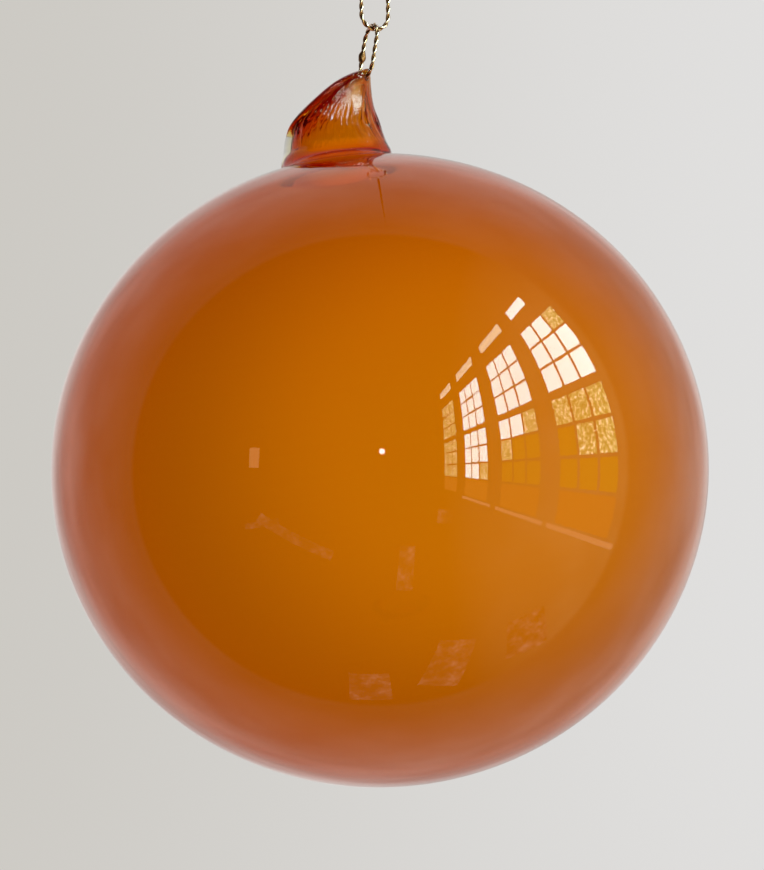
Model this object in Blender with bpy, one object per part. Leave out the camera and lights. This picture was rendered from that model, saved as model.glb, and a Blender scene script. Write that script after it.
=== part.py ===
"""A blown glass ball whose drawn neck ends in a small eye, hung from two links of brass chain.

Metres, +Z up, +X to the right, +Y to the back. The origin is the hanging point: the inside of
the top of the upper link, where a nail or a hook takes the weight.
"""

import math

import bmesh
import bpy
from mathutils import Matrix, Vector

# Ball: a turned body, slightly flat along its blowing axis, which leans to the left
BALL_WIDTH = 0.1000
BALL_HEIGHT = 0.0964
BALL_LEAN = math.radians(-3.6)
BALL_RINGS = 24

# Neck: places are measured from the ball's centre. Each station on the way up is
# (share of the way, X, Z), on the left outline and on the right one
NECK_LEFT = (
    (0.0, -0.0150, 0.0474),
    (0.16, -0.01485, 0.0498),
    (0.27, -0.0146, 0.0514),
    (0.37, -0.0138, 0.0532),
    (0.60, -0.0099, 0.0572),
    (0.80, -0.0062, 0.0603),
    (1.0, -0.0025, 0.0624),
)
NECK_RIGHT = (
    (0.0, 0.0019, 0.0494),
    (0.15, 0.0010, 0.0510),
    (0.37, 0.00005, 0.0536),
    (0.60, -0.00095, 0.0569),
    (0.80, -0.0014, 0.0598),
    (1.0, -0.0015, 0.0624),
)
NECK_RINGS = 20
NECK_FIRST_RING = 0.06
NECK_FOOT_DEPTH = 0.0064
NECK_TIP_DEPTH = 0.0012
NECK_AXIS_LEAN = math.radians(-8.0)
TIP_CAP_START = 0.90

# Towards its tip the flattened neck is twisted: its left side comes forward and its right side
# goes back, by this much depth for each unit of width
NECK_TWIST = ((0.0, 0.0), (0.35, 0.05), (0.75, 0.60), (1.0, 0.60))

# The left side of the neck is folded into a crest, which thins to a lip over the foot. Higher up
# the crest is a bead that lies on the front of the neck, turned there by the tilt
CREST_OVERHANG = (
    (0.0, 0.0001),
    (0.05, 0.0001),
    (0.11, 0.00095),
    (0.28, 0.00095),
    (0.40, 0.0003),
    (0.80, 0.00025),
    (1.0, 0.0002),
)
CREST_HALF_THICKNESS = (
    (0.0, 0.0002),
    (0.28, 0.0002),
    (0.40, 0.0008),
    (0.62, 0.0011),
    (0.85, 0.0009),
    (1.0, 0.0008),
)
CREST_TILT = ((0.0, 0.0), (0.30, 0.0), (0.45, 0.22), (0.90, 0.22), (1.0, 0.0))
CREST_SHARE_OF_DEPTH = 0.8
CREST_BLEND_POWER = 14

# Fillet between the ball and the neck
FILLET_ANGLE = math.radians(11.6)
FILLET_RINGS = 3
FILLET_PULL_BALL = 0.0016
FILLET_PULL_NECK = 0.0012
FILLET_SLOPE_STEP = 0.01

# Points round a ring, closer together on the left, where the crest is
RING_POINTS = 72
RING_CROWDING = 0.6

# Chain: closed oval links of round wire
WIRE_RADIUS = 0.00036
LINK_HEIGHT = 0.0094
LINK_WIDTH = 0.0053
LINK_ARC_STEPS = 12
LINK_SIDE_STEPS = 12
WIRE_SIDES = 10
UPPER_LINK_TURN = math.radians(25.0)
LOWER_LINK_TURN = math.radians(-65.0)
LOWER_LINK_LEAN = math.radians(8.9)
LOWER_LINK_SIDE = -0.00024

# The lower link is closed by a drop of solder on its left side, a little below its middle
SOLDER_HEIGHT = -0.0005
SOLDER_HALF_LENGTH = 0.0011
SOLDER_RADIUS = 0.00056

# Clearance where two pieces hang on each other, and the eye's place over the ball's centre
PLAY = 0.0003
EYE_FROM_BALL = Vector((-0.00243, 0.0, 0.06100))

WIRE_WIDTH = 2 * WIRE_RADIUS
LINK_REACH = LINK_HEIGHT / 2 - WIRE_RADIUS


def clear_scene():
    """Removes whatever the open scene holds."""
    for obj in list(bpy.data.objects):
        bpy.data.objects.remove(obj, do_unlink=True)


def amber_glass():
    """Clear soda-lime glass coloured amber in the melt."""
    material = bpy.data.materials.new("amber_glass")
    material.use_nodes = True
    shader = material.node_tree.nodes["Principled BSDF"]
    shader.inputs["Base Color"].default_value = (0.67, 0.17, 0.01, 1.0)
    shader.inputs["Roughness"].default_value = 0.02
    shader.inputs["Metallic"].default_value = 0.0
    shader.inputs["IOR"].default_value = 1.5
    shader.inputs["Transmission Weight"].default_value = 0.6
    return material


def antique_brass():
    """Brass wire, darkened in its hollows."""
    material = bpy.data.materials.new("antique_brass")
    material.use_nodes = True
    shader = material.node_tree.nodes["Principled BSDF"]
    shader.inputs["Base Color"].default_value = (0.45, 0.30, 0.13, 1.0)
    shader.inputs["Roughness"].default_value = 0.32
    shader.inputs["Metallic"].default_value = 1.0
    return material


def along(stations, share):
    """The values at this share of the way, read straight between the two nearest stations."""
    for before, after in zip(stations, stations[1:]):
        if share <= after[0]:
            step = (share - before[0]) / (after[0] - before[0])
            return [a + step * (b - a) for a, b in zip(before[1:], after[1:])]
    return list(stations[-1][1:])


def along_curve(stations, share):
    """The values at this share of the way, on a cubic curve that runs smoothly through every station.

    Its slope at a station is that between the two neighbours.
    """
    last = len(stations) - 1
    index = next(i for i in range(last) if share <= stations[i + 1][0])
    slopes = []
    for i in (index, index + 1):
        before, after = stations[max(i - 1, 0)], stations[min(i + 1, last)]
        slopes.append([(b - a) / (after[0] - before[0]) for a, b in zip(before[1:], after[1:])])
    start, end = stations[index], stations[index + 1]
    length = end[0] - start[0]
    step = (share - start[0]) / length
    square, cube = step**2, step**3
    weights = (2 * cube - 3 * square + 1, 3 * square - 2 * cube)
    pulls = ((cube - 2 * square + step) * length, (cube - square) * length)
    return [
        weights[0] * a + weights[1] * b + pulls[0] * u + pulls[1] * v
        for a, b, u, v in zip(start[1:], end[1:], *slopes)
    ]


def ring_angles():
    """Angles round a ring from the right side, anticlockwise seen from above."""
    turns = [2 * math.pi * i / RING_POINTS for i in range(RING_POINTS)]
    return [turn + RING_CROWDING * math.sin(turn) for turn in turns]


def ball_point(polar, angle):
    """The ball's surface in one direction, measured from the neck's own axis."""
    flat = Vector((math.cos(angle), math.sin(angle), 0.0)) * math.sin(polar)
    way = Matrix.Rotation(NECK_AXIS_LEAN, 3, "Y") @ (flat + Vector((0.0, 0.0, math.cos(polar))))
    own = Matrix.Rotation(-BALL_LEAN, 3, "Y") @ way
    across = (own.x**2 + own.y**2) / (BALL_WIDTH / 2) ** 2
    return way / math.sqrt(across + own.z**2 / (BALL_HEIGHT / 2) ** 2)


def capsule_reach(angle, length, radius):
    """How far a round-ended bar that points left reaches from its start, in one direction."""
    off = math.pi - angle
    rise = abs(math.sin(off))
    if math.cos(off) <= 0.0:
        return radius
    if length * rise < radius * math.cos(off):
        return length * math.cos(off) + math.sqrt(radius**2 - (length * rise) ** 2)
    return radius / rise


def neck_point(share, angle):
    """The neck's surface at one share of the way up: an ellipse, blended with the crest's bar.

    The angles on the left turn with the crest, so that the same points of each ring lie on it.
    """
    left_x, left_z = along_curve(NECK_LEFT, share)
    right_x, right_z = along_curve(NECK_RIGHT, share)
    left = Vector((left_x, 0.0, left_z))
    right = Vector((right_x, 0.0, right_z))
    across = (right - left).normalized()
    overhang = along(CREST_OVERHANG, share)[0]
    half_width = ((right - left).length - overhang) / 2
    middle = right - across * half_width
    half_depth = NECK_FOOT_DEPTH + (NECK_TIP_DEPTH - NECK_FOOT_DEPTH) * share
    crest = min(along(CREST_HALF_THICKNESS, share)[0], CREST_SHARE_OF_DEPTH * half_depth)
    tilt = along(CREST_TILT, share)[0]
    angle += tilt * (1.0 - math.cos(angle)) / 2
    crest_length = ((middle - left).length - crest) / math.cos(tilt)
    squash = math.hypot(half_depth * math.cos(angle), half_width * math.sin(angle))
    body_reach = half_width * half_depth / squash
    crest_reach = capsule_reach((angle - tilt) % (2 * math.pi), crest_length, crest)
    power = CREST_BLEND_POWER
    reach = (body_reach**power + crest_reach**power) ** (1 / power)
    closing = max(0.0, (share - TIP_CAP_START) / (1.0 - TIP_CAP_START))
    reach *= math.sqrt(max(0.0, 1.0 - closing**2))
    width, depth = reach * math.cos(angle), reach * math.sin(angle)
    return middle + across * width + Vector((0.0, depth + along(NECK_TWIST, share)[0] * width, 0.0))


def fillet_point(step, angle):
    """A cubic curve that leaves along the ball's surface and arrives along the neck's."""
    start = ball_point(FILLET_ANGLE, angle)
    end = neck_point(NECK_FIRST_RING, angle)
    beyond = ball_point(FILLET_ANGLE - FILLET_SLOPE_STEP, angle)
    leave = (beyond - start).normalized() * FILLET_PULL_BALL
    above = neck_point(NECK_FIRST_RING + FILLET_SLOPE_STEP, angle)
    arrive = (above - end).normalized() * FILLET_PULL_NECK
    square = step**2
    cube = step**3
    return (
        start * (2 * cube - 3 * square + 1)
        + leave * 3 * (cube - 2 * square + step)
        + end * (3 * square - 2 * cube)
        + arrive * 3 * (cube - square)
    )


def orb_rings():
    """The glass from the bottom of the ball to the tip of the neck, as rings of points."""
    angles = ring_angles()
    rings = []
    for i in range(1, BALL_RINGS + 1):
        polar = math.pi - (math.pi - FILLET_ANGLE) * i / BALL_RINGS
        rings.append([ball_point(polar, angle) for angle in angles])
    for i in range(1, FILLET_RINGS + 1):
        step = i / (FILLET_RINGS + 1)
        rings.append([fillet_point(step, angle) for angle in angles])
    for i in range(NECK_RINGS):
        way = math.sin(0.5 * math.pi * i / NECK_RINGS)
        share = NECK_FIRST_RING + (1.0 - NECK_FIRST_RING) * way
        rings.append([neck_point(share, angle) for angle in angles])
    return rings


def solid_from_rings(name, rings, bottom, top):
    """A closed mesh through rings that run upwards, with a point at each end."""
    model = bmesh.new()
    rows = [[model.verts.new(point) for point in ring] for ring in rings]
    low = model.verts.new(bottom)
    high = model.verts.new(top)
    count = len(rows[0])
    for i in range(count):
        after = (i + 1) % count
        model.faces.new((low, rows[0][after], rows[0][i]))
        model.faces.new((high, rows[-1][i], rows[-1][after]))
        for under, over in zip(rows, rows[1:]):
            model.faces.new((under[i], under[after], over[after], over[i]))
    mesh = bpy.data.meshes.new(name)
    model.to_mesh(mesh)
    model.free()
    return mesh


def oval_path():
    """The middle of a link's wire in its own XZ plane, with a corner-free round at each end."""
    round_radius = LINK_WIDTH / 2 - WIRE_RADIUS
    straight = LINK_REACH - round_radius
    path = []
    for end in (1, -1):
        for i in range(LINK_ARC_STEPS + 1):
            angle = math.pi * i / LINK_ARC_STEPS + (0.0 if end > 0 else math.pi)
            side = round_radius * math.cos(angle)
            path.append(Vector((side, 0.0, round_radius * math.sin(angle) + end * straight)))
        for i in range(1, LINK_SIDE_STEPS):
            height = end * straight * (1 - 2 * i / LINK_SIDE_STEPS)
            path.append(Vector((-end * round_radius, 0.0, height)))
    return path


def swollen(point, radius):
    """The wire's radius at a point of its path: on the left side the solder drop's half ellipse."""
    off = (point.z - SOLDER_HEIGHT) / SOLDER_HALF_LENGTH
    if point.x > 0.0 or abs(off) >= 1.0:
        return radius
    return max(radius, SOLDER_RADIUS * math.sqrt(1.0 - off**2))


def wire_loop(name, radius, soldered=False):
    """A closed ring of round wire along the oval path, with or without the solder drop."""
    path = oval_path()
    model = bmesh.new()
    rows = []
    for i, point in enumerate(path):
        onward = (path[(i + 1) % len(path)] - path[i - 1]).normalized()
        outward = onward.cross(Vector((0.0, 1.0, 0.0)))
        reach = swollen(point, radius) if soldered else radius
        row = []
        for k in range(WIRE_SIDES):
            angle = 2 * math.pi * k / WIRE_SIDES
            across = outward * math.cos(angle) + Vector((0.0, math.sin(angle), 0.0))
            row.append(model.verts.new(point + across * reach))
        rows.append(row)
    for i, row in enumerate(rows):
        ahead = rows[(i + 1) % len(rows)]
        for k in range(WIRE_SIDES):
            after = (k + 1) % WIRE_SIDES
            model.faces.new((row[k], row[after], ahead[after], ahead[k]))
    bmesh.ops.recalc_face_normals(model, faces=model.faces)
    mesh = bpy.data.meshes.new(name)
    model.to_mesh(mesh)
    model.free()
    return mesh


def upper_link_place():
    """Hangs the upper link with the inside of its top at the origin."""
    middle = Vector((0.0, 0.0, WIRE_WIDTH - LINK_HEIGHT / 2))
    return Matrix.Translation(middle) @ Matrix.Rotation(UPPER_LINK_TURN, 4, "Z")


def lower_link_place():
    """Hangs the lower link on the upper one's bottom, edge on to it and leaning."""
    top = upper_link_place() @ Vector((0.0, 0.0, -LINK_REACH))
    top += Vector((LOWER_LINK_SIDE, 0.0, WIRE_WIDTH + PLAY))
    lean = Matrix.Rotation(LOWER_LINK_LEAN, 4, "Y")
    middle = top - lean @ Vector((0.0, 0.0, LINK_REACH))
    return Matrix.Translation(middle) @ lean @ Matrix.Rotation(LOWER_LINK_TURN, 4, "Z")


def add_object(name, mesh, place, material):
    """Puts a smooth-shaded mesh into the scene."""
    mesh.shade_smooth()
    mesh.materials.append(material)
    obj = bpy.data.objects.new(name, mesh)
    obj.matrix_world = place
    bpy.context.scene.collection.objects.link(obj)
    return obj


def cut_away(solid, cutter):
    """Takes a hidden form away from a solid with a Boolean modifier."""
    cutter.hide_render = True
    cutter.display_type = "WIRE"
    change = solid.modifiers.new(cutter.name, "BOOLEAN")
    change.operation = "DIFFERENCE"
    change.solver = "EXACT"
    change.object = cutter


def build_orb(glass):
    """The ball and its neck, one fused piece, hung so that the lower link runs in its eye."""
    bottom = ball_point(math.pi, 0.0)
    top = neck_point(1.0, 0.0)
    mesh = solid_from_rings("glass_orb", orb_rings(), bottom, top)
    link_bottom = lower_link_place() @ Vector((0.0, 0.0, -LINK_REACH))
    place = Matrix.Translation(link_bottom - EYE_FROM_BALL)
    orb = add_object("glass_orb", mesh, place, glass)
    eye_mesh = wire_loop("eye_cutter", WIRE_RADIUS + PLAY)
    cut_away(orb, add_object("eye_cutter", eye_mesh, lower_link_place(), glass))


def build_chain(brass):
    """The two links, each its own closed ring."""
    upper = wire_loop("upper_link", WIRE_RADIUS)
    lower = wire_loop("lower_link", WIRE_RADIUS, soldered=True)
    add_object("upper_link", upper, upper_link_place(), brass)
    add_object("lower_link", lower, lower_link_place(), brass)


def main():
    clear_scene()
    build_orb(amber_glass())
    build_chain(antique_brass())


main()
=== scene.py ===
"""Looks of a blown glass ball whose drawn, folded neck hangs from two links of twisted brass wire.

Metres, +Z up, +X to the right, +Y to the back. The origin is the hanging point: the inside of the
top of the upper link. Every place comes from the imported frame's boxes.
"""

import logging
import math
from collections.abc import Callable
from dataclasses import dataclass, field
from enum import Enum
from typing import Any

import bpy
import numpy as np
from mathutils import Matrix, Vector


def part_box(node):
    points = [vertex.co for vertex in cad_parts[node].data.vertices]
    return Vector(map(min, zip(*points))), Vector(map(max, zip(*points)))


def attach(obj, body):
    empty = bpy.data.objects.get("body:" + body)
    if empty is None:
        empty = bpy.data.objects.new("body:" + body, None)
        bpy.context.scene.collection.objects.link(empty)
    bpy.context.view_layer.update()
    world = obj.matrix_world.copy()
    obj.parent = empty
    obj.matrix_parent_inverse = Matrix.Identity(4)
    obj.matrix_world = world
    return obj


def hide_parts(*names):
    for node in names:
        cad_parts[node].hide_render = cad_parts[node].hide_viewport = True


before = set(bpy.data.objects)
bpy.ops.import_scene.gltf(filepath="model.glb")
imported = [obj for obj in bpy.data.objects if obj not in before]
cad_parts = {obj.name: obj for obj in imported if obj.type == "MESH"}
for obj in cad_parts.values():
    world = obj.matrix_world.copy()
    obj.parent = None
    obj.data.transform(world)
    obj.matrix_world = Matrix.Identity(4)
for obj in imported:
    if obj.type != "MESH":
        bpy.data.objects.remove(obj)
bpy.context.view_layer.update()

log = logging.getLogger("glass_orb_ornament")

MM = 0.001
TINY = 1e-9
NO_TRIANGLES = np.empty((0, 3), int)
Rgba = tuple[float, float, float, float]
Span = tuple[float, float]
Stations = tuple[tuple[float, ...], ...]
Surface = Callable[[np.ndarray, np.ndarray], np.ndarray]


class Link(Enum):
    """The chain's two links, by the names of their nodes."""

    UPPER = "upper_link"
    LOWER = "lower_link"


class SeenBy(Enum):
    """Which rays meet a stage surface, by the names of Blender's own switches."""

    EYE = ("visible_camera", "visible_diffuse")
    MIRROR = ("visible_glossy",)
    BENT = ("visible_transmission",)


class Daylight(Enum):
    """What stands behind a window pane, by the name of its part of the stage."""

    SKY = "window_sky"
    HAZE = "window_haze"
    TREES = "window_trees"
    LAWN = "window_lawn"
    GROUND = "window_ground"


# ---------------------------------------------------------------- small tools


def linear(colour: str) -> Rgba:
    """Turns an sRGB hex colour, such as "#C89B4A", to linear light with an alpha of one."""
    shares = (int(colour[i : i + 2], 16) / 255 for i in (1, 3, 5))
    return (*(s / 12.92 if s <= 0.04045 else ((s + 0.055) / 1.055) ** 2.4 for s in shares), 1.0)


def smooth_step(low: float, high: float, value: np.ndarray) -> np.ndarray:
    """Rises from 0 at low to 1 at high, level at both ends: 3 t squared less 2 t cubed."""
    share = np.clip((value - low) / (high - low), 0.0, 1.0)
    return share * share * (3.0 - 2.0 * share)


def cubic(
    start: np.ndarray, leave: np.ndarray, end: np.ndarray, arrive: np.ndarray, step: np.ndarray
) -> np.ndarray:
    """A cubic curve from one point to another that keeps a direction at both ends.

    Args:
        start: the point that it leaves.
        leave: its direction there, as long as its pull.
        end: the point where it arrives.
        arrive: its direction there, as long as its pull.
        step: shares of the way between them.

    Returns:
        Its points: 2 t cubed - 3 t squared + 1 of the start and the rest of the end, with
        t cubed - 2 t squared + t of the leaving pull and t cubed - t squared of the arriving one.
    """
    square, cube = step**2, step**3
    ends = start * (2 * cube - 3 * square + 1) + end * (3 * square - 2 * cube)
    return ends + leave * (cube - 2 * square + step) + arrive * (cube - square)


def turned(points: np.ndarray, angle: float, axis: str) -> np.ndarray:
    """Turns points about the Y or the Z axis through the origin.

    Args:
        points: an array whose last axis is x, y, z.
        angle: in radians, as a right-handed screw about the axis.
        axis: "Y" or "Z".

    Returns:
        The turned points.
    """
    cosine, sine = math.cos(angle), math.sin(angle)
    if axis == "Y":
        matrix = np.array([[cosine, 0.0, sine], [0.0, 1.0, 0.0], [-sine, 0.0, cosine]])
    else:
        matrix = np.array([[cosine, -sine, 0.0], [sine, cosine, 0.0], [0.0, 0.0, 1.0]])
    return points @ matrix.T


def unit(vectors: np.ndarray) -> np.ndarray:
    """Vectors of length one along the last axis."""
    return vectors / np.linalg.norm(vectors, axis=-1, keepdims=True)


def circle(count: int) -> np.ndarray:
    """Angles of evenly spaced points once round."""
    return 2 * math.pi * np.arange(count) / count


def box_middle(node: str) -> np.ndarray:
    """The middle of a CAD node's box."""
    return np.mean(np.array(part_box(node)), axis=0)


# ---------------------------------------------------------------- surfaces


@dataclass
class Skin:
    """A surface as whole arrays: points, faces and values that its material reads."""

    points: np.ndarray
    quads: np.ndarray
    triangles: np.ndarray
    values: dict[str, np.ndarray] = field(default_factory=dict)

    def joined(self, other: "Skin") -> "Skin":
        """This skin and another as one. Both must carry the same values.

        Args:
            other: the skin that is added.

        Returns:
            The skin of both.
        """
        shift = len(self.points)
        return Skin(
            np.concatenate([self.points, other.points]),
            np.concatenate([self.quads, other.quads + shift]),
            np.concatenate([self.triangles, other.triangles + shift]),
            {name: np.concatenate([self.values[name], other.values[name]]) for name in self.values},
        )

    def inside_out(self) -> "Skin":
        """The same surface, facing the other way."""
        return Skin(self.points, self.quads[:, ::-1], self.triangles[:, ::-1], self.values)

    def moved(self, way: np.ndarray) -> "Skin":
        """The same surface in another place."""
        return Skin(self.points + way, self.quads, self.triangles, self.values)

    def mesh(self, name: str) -> bpy.types.Mesh:
        """Puts the arrays into a smooth-shaded mesh.

        Args:
            name: the mesh's name.

        Returns:
            The mesh, with each value as a point attribute.
        """
        mesh = bpy.data.meshes.new(name)
        mesh.from_pydata(self.points.tolist(), [], self.quads.tolist() + self.triangles.tolist())
        for key, value in self.values.items():
            kind, part = ("FLOAT", "value") if value.ndim == 1 else ("FLOAT_VECTOR", "vector")
            layer = mesh.attributes.new(key, kind, "POINT")
            layer.data.foreach_set(part, value.astype(np.float32).ravel())
        mesh.shade_smooth()
        mesh.update()
        return mesh


def closed_skin(rings: np.ndarray, values: dict[str, np.ndarray], poles: np.ndarray | None = None) -> Skin:
    """A surface through rings, shut by a fan of triangles at each pole, or closed to a loop without them.

    Args:
        rings: rings x columns x 3, one after the other, each anticlockwise seen from the next.
        values: arrays of rings x columns, or rings x columns x 3. A pole takes the mean of its ring.
        poles: the points before the first ring and after the last. Without them the last ring
            meets the first.

    Returns:
        The closed skin, facing outwards.
    """
    count, columns = rings.shape[:2]
    across = np.arange(columns)
    after = (across + 1) % columns
    low = np.arange(count if poles is None else count - 1)[:, None] * columns
    high = (low + columns) % (count * columns)
    corners = [low + across, low + after, high + after, high + across]
    quads = np.stack(corners, axis=-1).reshape(-1, 4)
    points = rings.reshape(-1, 3)
    flat = {name: value.reshape(-1, *value.shape[2:]) for name, value in values.items()}
    if poles is None:
        return Skin(points, quads, NO_TRIANGLES, flat)
    last, pole = (count - 1) * columns, np.full(columns, count * columns)
    low_fan = np.stack([pole, after, across], axis=-1)
    high_fan = np.stack([pole + 1, last + across, last + after], axis=-1)
    flat = {name: np.concatenate([flat[name], values[name][[0, -1]].mean(axis=1)]) for name in flat}
    return Skin(np.concatenate([points, poles]), quads, np.concatenate([low_fan, high_fan]), flat)


def flat_cards(corners: np.ndarray) -> Skin:
    """Separate flat rectangles from an array of cards x 4 x 3."""
    return Skin(corners.reshape(-1, 3), np.arange(4 * len(corners)).reshape(-1, 4), NO_TRIANGLES)


def facing(ways: np.ndarray) -> tuple[np.ndarray, np.ndarray, np.ndarray]:
    """Directions for things that face the object.

    Args:
        ways: where they lie.

    Returns:
        Unit vectors towards them, level across that, and upwards across both.
    """
    ahead = unit(ways)
    side = unit(np.cross(ahead, [0.0, 0.0, 1.0]))
    return ahead, side, np.cross(side, ahead)


# ---------------------------------------------------------------- finishes


def add_node(
    tree: bpy.types.NodeTree,
    kind: str,
    settings: dict[Any, Any] | None = None,
    links: dict[Any, bpy.types.Node | bpy.types.NodeSocket] | None = None,
) -> bpy.types.Node:
    """Adds one node with its settings and the links that feed it.

    Args:
        tree: the node tree that gets it.
        kind: the node's type, which ShaderNode is put before.
        settings: values by name. "ramp" holds a colour ramp's stops, a name or number of an input
            sets that input, and any other name sets the node itself.
        links: what feeds each input, by the input's name or number. A node stands for its first
            output.

    Returns:
        The new node.
    """
    node = tree.nodes.new(f"ShaderNode{kind}")
    for name, value in (settings or {}).items():
        if name == "ramp":
            ramp = node.color_ramp
            while len(ramp.elements) < len(value):
                ramp.elements.new(1.0)
            for stop, (position, colour) in zip(ramp.elements, value):
                stop.position = position
                stop.color = linear(colour)
        elif isinstance(name, int) or name in node.inputs:
            node.inputs[name].default_value = value
        else:
            setattr(node, name, value)
    for name, source in (links or {}).items():
        output = source.outputs[0] if isinstance(source, bpy.types.Node) else source
        tree.links.new(output, node.inputs[name])
    return node


class Finish:
    """What something is made of or lit by. Each kind adds its own nodes."""

    name: str

    def nodes(self, tree: bpy.types.NodeTree) -> dict[str, bpy.types.Node]:
        """Adds the nodes, and names the output's input that each end of them feeds."""
        raise NotImplementedError

    def material(self) -> bpy.types.Material:
        """Makes the material.

        Returns:
            The material, named for the finish.
        """
        material = bpy.data.materials.new(self.name)
        material.use_nodes = True
        material.node_tree.nodes.clear()
        add_node(material.node_tree, "OutputMaterial", links=self.nodes(material.node_tree))
        return material


@dataclass(frozen=True)
class AmberGlass(Finish):
    """Soda-lime glass coloured amber in the melt, blown and fire-polished.

    The colour is in the glass itself, so thin places are cream, a single wall is orange and thick
    places go through red to brown. The surface is the melt's own: mirror smooth, faintly wavy on
    the ball, and combed into fine flutes on the neck, where it was drawn and twisted.
    """

    name: str = "amber_blown_glass"
    passed_by_a_millimetre: str = "#F8C442"
    ior: float = 1.5
    roughness: float = 0.0
    wave_length: float = 14.0 * MM
    wave_height: float = 0.010 * MM
    neck_radius: float = 6.3 * MM
    neck_length: float = 15.3 * MM
    flute_width: float = 0.7 * MM
    flute_length: float = 17.0 * MM
    flute_height: float = 0.12 * MM

    def nodes(self, tree: bpy.types.NodeTree) -> dict[str, bpy.types.Node]:
        """Clear glass by plain values, with its colour as absorption and its waves as bump.

        The flutes' noise runs over the neck's fan, whose unit is the neck's length up it and its
        radius round it. The radius given here is the one at 0.3 of the way up, where the flutes are
        full, and above that they narrow with the neck. The absorption is the negative logarithm of
        what one millimetre lets pass.

        Args:
            tree: the node tree that gets them.

        Returns:
            The shader and the melt inside.
        """
        place = add_node(tree, "TexCoord").outputs["Object"]
        noise = {"Scale": 1.0 / self.wave_length, "Detail": 1.0, "Roughness": 0.4}
        waves = add_node(tree, "TexNoise", noise, {"Vector": place})
        wavy = add_node(tree, "Bump", {"Strength": 1.0, "Distance": self.wave_height}, {"Height": waves})
        fan = add_node(tree, "Attribute", {"attribute_name": "fan"}).outputs["Vector"]
        round_neck, up_neck = self.neck_radius / self.flute_width, self.neck_length / self.flute_length
        lines = {"Scale": (round_neck, round_neck, up_neck)}
        stretched = add_node(tree, "Mapping", lines, {"Vector": fan})
        noise = {"Scale": 1.0, "Detail": 2.0, "Roughness": 0.6}
        comb = add_node(tree, "TexNoise", noise, {"Vector": stretched})
        drawn = add_node(tree, "Attribute", {"attribute_name": "drawn"}).outputs["Fac"]
        feeds = {"Strength": drawn, "Height": comb, "Normal": wavy}
        combed = add_node(tree, "Bump", {"Distance": self.flute_height}, feeds)
        clear = {
            "Base Color": (1.0, 1.0, 1.0, 1.0),
            "Roughness": self.roughness,
            "IOR": self.ior,
            "Transmission Weight": 1.0,
        }
        shader = add_node(tree, "BsdfPrincipled", clear, {"Normal": combed})
        lost = [-math.log(share) / MM for share in linear(self.passed_by_a_millimetre)[:3]]
        kept = [1.0 - loss / max(lost) for loss in lost]
        melt = add_node(tree, "VolumeAbsorption", {"Color": (*kept, 1.0), "Density": max(lost)})
        return {"Surface": shader, "Volume": melt}


@dataclass(frozen=True)
class AntiqueBrass(Finish):
    """Drawn brass wire, chemically darkened and then rubbed back.

    The colour follows each strand's sides. Towards the hollows between the strands it is brown to
    nearly black and dull: patina, and painted shade. On the high spots it is pale gold and shines:
    rubbed metal, and a painted highlight. This gives the wire its row of dark and light dashes.
    """

    name: str = "antique_brass_wire"
    # the darkest tone is patina and painted shade, the palest is rubbed metal and a painted highlight
    patina_and_painted_shade: str = "#5E4434"
    brown: str = "#976E4C"
    gold: str = "#D2AE8A"
    pale: str = "#FFEBDC"
    uneven_wear: float = 0.35
    least_wear: float = -0.17
    dull: float = 0.55
    shiny: float = 0.2
    grain: float = 0.25 * MM
    scratch_height: float = 0.006 * MM

    def nodes(self, tree: bpy.types.NodeTree) -> dict[str, bpy.types.Node]:
        """Metal whose colour and roughness follow how deep a point lies between the strands. The colour
        is darker deep between them, as patina and painted shade, and paler on the high spots, as rubbed
        metal and a painted highlight.

        Args:
            tree: the node tree that gets them.

        Returns:
            The shader.
        """
        place = add_node(tree, "TexCoord").outputs["Object"]
        noise = {"Scale": 1.0 / self.grain, "Detail": 3.0, "Roughness": 0.6}
        grain = add_node(tree, "TexNoise", noise, {"Vector": place})
        height = add_node(tree, "Attribute", {"attribute_name": "height"}).outputs["Fac"]
        spread = {"operation": "MULTIPLY_ADD", 1: self.uneven_wear, 2: self.least_wear}
        uneven = add_node(tree, "Math", spread, {0: grain})
        wear_and_painted_light = add_node(tree, "Math", {"operation": "ADD", "use_clamp": True}, {0: height, 1: uneven})
        # patina with painted shade towards the hollows, rubbed metal with a painted highlight on the high
        # spots
        stops = ((0.12, self.patina_and_painted_shade), (0.45, self.brown), (0.72, self.gold), (0.95, self.pale))
        colour = add_node(tree, "ValToRGB", {"ramp": stops}, {"Fac": wear_and_painted_light})
        rubbed = {"From Min": 0.2, "From Max": 0.9, "To Min": self.dull, "To Max": self.shiny}
        roughness = add_node(tree, "MapRange", rubbed, {"Value": wear_and_painted_light})
        scratched = {"Strength": 0.6, "Distance": self.scratch_height}
        scratches = add_node(tree, "Bump", scratched, {"Height": grain})
        feeds = {"Base Color": colour, "Roughness": roughness, "Normal": scratches}
        return {"Surface": add_node(tree, "BsdfPrincipled", {"Metallic": 1.0}, feeds)}


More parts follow.
